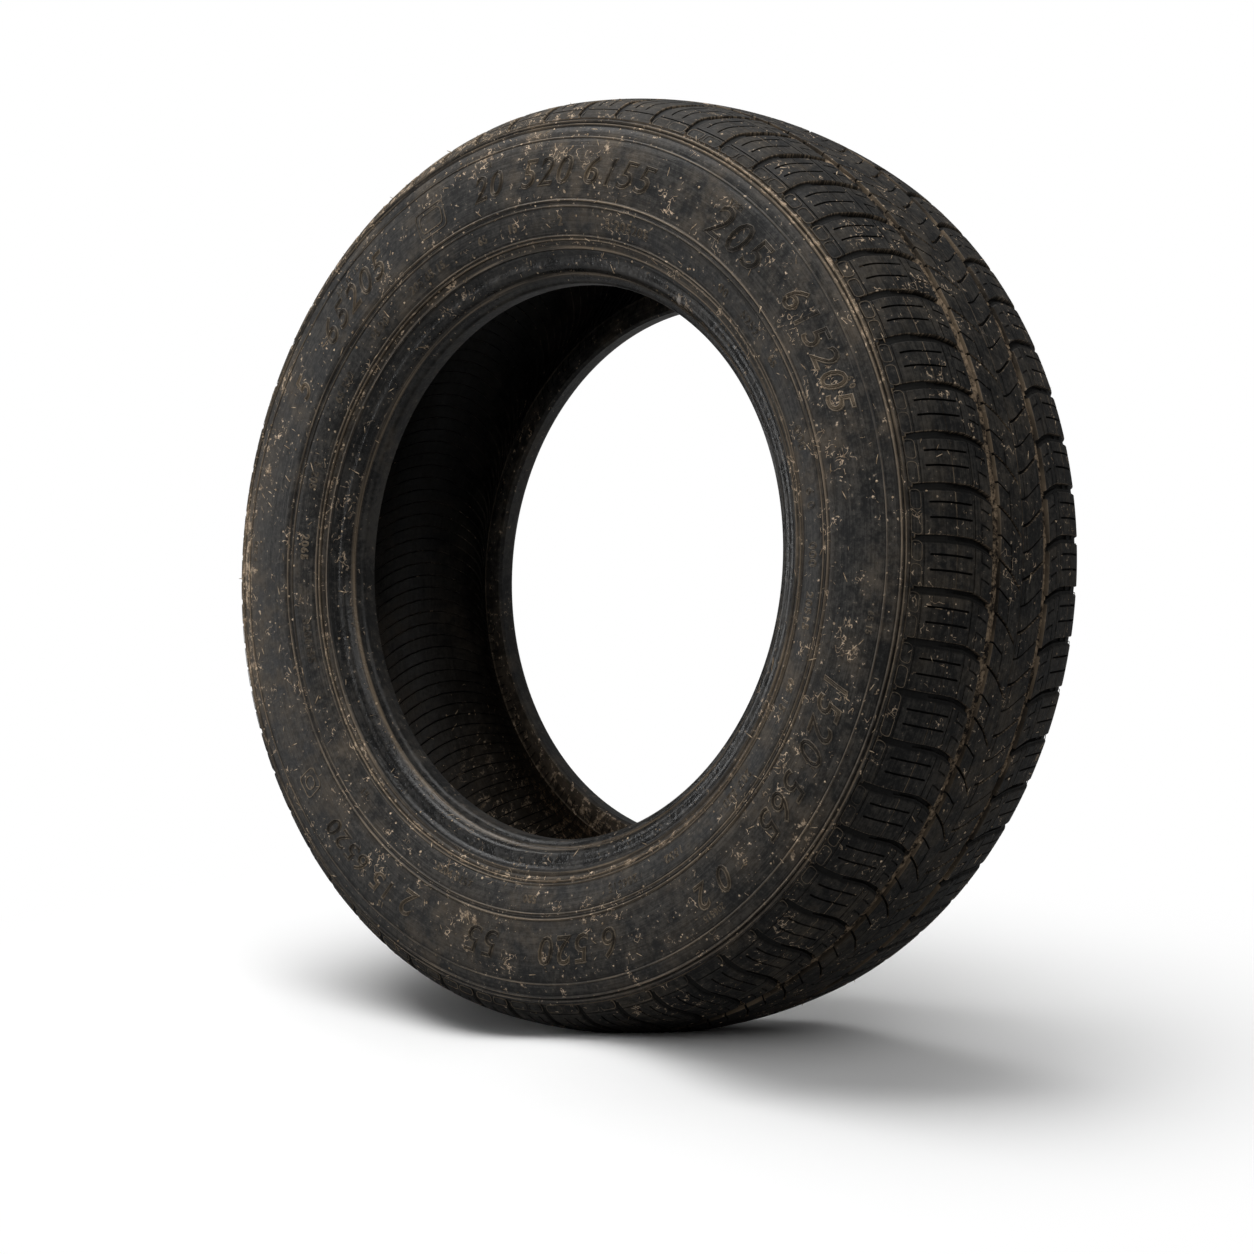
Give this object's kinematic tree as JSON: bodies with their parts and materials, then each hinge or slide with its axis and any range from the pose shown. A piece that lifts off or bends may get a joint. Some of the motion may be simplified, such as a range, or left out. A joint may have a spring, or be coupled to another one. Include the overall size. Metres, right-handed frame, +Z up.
{
  "type": "old worn tyre",
  "caption": "Old worn car tyre standing on its tread, with ribbed sidewalls, two main grooves, cross-grooved shoulders and open beads for a 15 inch wheel.",
  "frame": {"origin": "centre of the wheel: on the axle line, half way between the two beads", "axes": "Y is the axle line, with the side that shows best towards -Y; +Z is up, and the tyre stands on its tread at its lowest Z"},
  "size_m": [0.6474, 0.205, 0.6449],
  "materials": {
    "tyre": "worn, cracked and dusty rubber"
  },
  "bodies": {
    "root": {"tyre": "tyre"}
  },
  "joints": []
}
